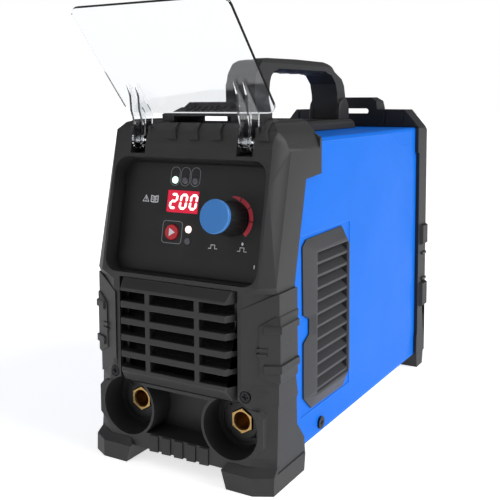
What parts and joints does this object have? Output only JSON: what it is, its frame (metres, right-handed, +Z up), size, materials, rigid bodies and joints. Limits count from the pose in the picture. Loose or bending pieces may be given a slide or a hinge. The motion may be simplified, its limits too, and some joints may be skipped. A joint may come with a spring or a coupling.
{
  "type": "stick welding inverter",
  "caption": "Portable stick welding inverter: blue steel cover between moulded frames, carry handle, hinged clear shield over a control panel with knob, button and display, cable sockets.",
  "frame": {"origin": "middle of the bounding box, on the floor under the feet", "axes": "+Y from the socket end to the rear panel, +X to the right as seen from the front, +Z up"},
  "size_m": [0.1608, 0.3632, 0.3316],
  "materials": {
    "frame_plastic": "fine spark-eroded texture, satin",
    "grille_plastic": "fine texture, satin",
    "cover_paint": "gloss powder coat",
    "vent_plastic": "satin",
    "handle_plastic": "fine texture",
    "saddle_plastic": "fine texture",
    "panel_film": "satin printed film",
    "display_red": "lit display",
    "window_red": "polished filter",
    "button_red": "satin cap with a white mark",
    "lamp_lens": "diffused lens",
    "knob_rubber": "matt",
    "knob_blue": "satin",
    "clear_plastic": "polished clear",
    "bright_steel": "bright plated",
    "zinc_sheet": "galvanised",
    "panel_paint": "matt powder coat",
    "socket_plastic": "matt",
    "brass": "turned",
    "copper_bar": "bright copper bar",
    "fan_plastic": "satin",
    "board_laminate": "solder mask",
    "sink_aluminium": "extruded",
    "ferrite": "sintered",
    "winding_tape": "taped enamelled wire",
    "capacitor_sleeve": "shrink sleeve",
    "filter_foam": "open cell foam"
  },
  "bodies": {
    "case": {"dust_filter": "filter_foam", "front_frame": "frame_plastic", "front_grille": "grille_plastic", "rear_frame": "frame_plastic", "cover": "cover_paint", "base_pan": "zinc_sheet", "side_vent_right": "vent_plastic", "side_vent_left": "vent_plastic", "handle_saddle": "saddle_plastic", "handle": "handle_plastic", "handle_screw_front": "bright_steel", "handle_screw_rear": "bright_steel", "control_panel": "panel_film", "display_module": "display_red", "display_window": "window_red", "lamp_hot": "lamp_lens", "lamp_arc": "lamp_lens", "lamp_force": "lamp_lens", "lamp_stick": "lamp_lens", "lamp_lift": "lamp_lens", "encoder_body": "zinc_sheet", "control_board": "board_laminate", "shield_pin_right": "bright_steel", "shield_pin_left": "bright_steel", "socket_body_positive": "socket_plastic", "socket_body_negative": "socket_plastic", "socket_contact_positive": "brass", "socket_contact_negative": "brass", "bus_bar_positive": "copper_bar", "bus_bar_negative": "copper_bar", "bar_nut_positive": "bright_steel", "bar_nut_negative": "bright_steel", "rear_panel": "panel_paint", "fan_guard": "fan_plastic", "fan_frame": "fan_plastic", "switch_body": "socket_plastic", "cable_gland": "socket_plastic", "gland_nut": "socket_plastic", "main_board": "board_laminate", "heat_sink_right": "sink_aluminium", "heat_sink_left": "sink_aluminium", "transformer_core": "ferrite", "transformer_winding": "winding_tape", "choke": "winding_tape", "capacitor_a": "capacitor_sleeve", "capacitor_b": "capacitor_sleeve", "grille_screw_right": "bright_steel", "grille_screw_left": "bright_steel", "cover_screw_right": "bright_steel", "cover_screw_left": "bright_steel"},
    "shield": {"shield": "clear_plastic"},
    "mode_button_cap": {"mode_button": "button_red"},
    "encoder_push": {"encoder_shaft": "bright_steel"},
    "knob": {"knob_body": "knob_rubber", "knob_cap": "knob_blue"},
    "power_rocker": {"switch_rocker": "knob_rubber"},
    "fan": {"fan_rotor": "fan_plastic"}
  },
  "joints": [
    {"name": "shield_hinge", "type": "hinge", "parent": "case", "child": "shield", "pos_m": [0, -0.12491, 0.2376], "axis": [1, 0, 0], "range_deg": [0, 121]},
    {"name": "button_press", "type": "slide", "parent": "case", "child": "mode_button_cap", "axis": [0, 0.9789, -0.2042], "range_m": [0, 0.0008], "stiffness_N_per_m": 1200, "springref_m": -0.0004},
    {"name": "encoder_press", "type": "slide", "parent": "case", "child": "encoder_push", "axis": [0, 0.9789, -0.2042], "range_m": [0, 0.0006], "stiffness_N_per_m": 3000, "springref_m": -0.0005},
    {"name": "knob_turn", "type": "hinge", "parent": "encoder_push", "child": "knob", "pos_m": [0.035, -0.12788, 0.18389], "axis": [0, -0.9789, 0.2042], "continuous": true},
    {"name": "rocker_tilt", "type": "hinge", "parent": "case", "child": "power_rocker", "pos_m": [0.038, 0.16609, 0.0595], "axis": [1, 0, 0], "range_deg": [0, 12]},
    {"name": "fan_spin", "type": "hinge", "parent": "case", "child": "fan", "pos_m": [0, 0.15408, 0.15], "axis": [0, 1, 0], "continuous": true}
  ]
}
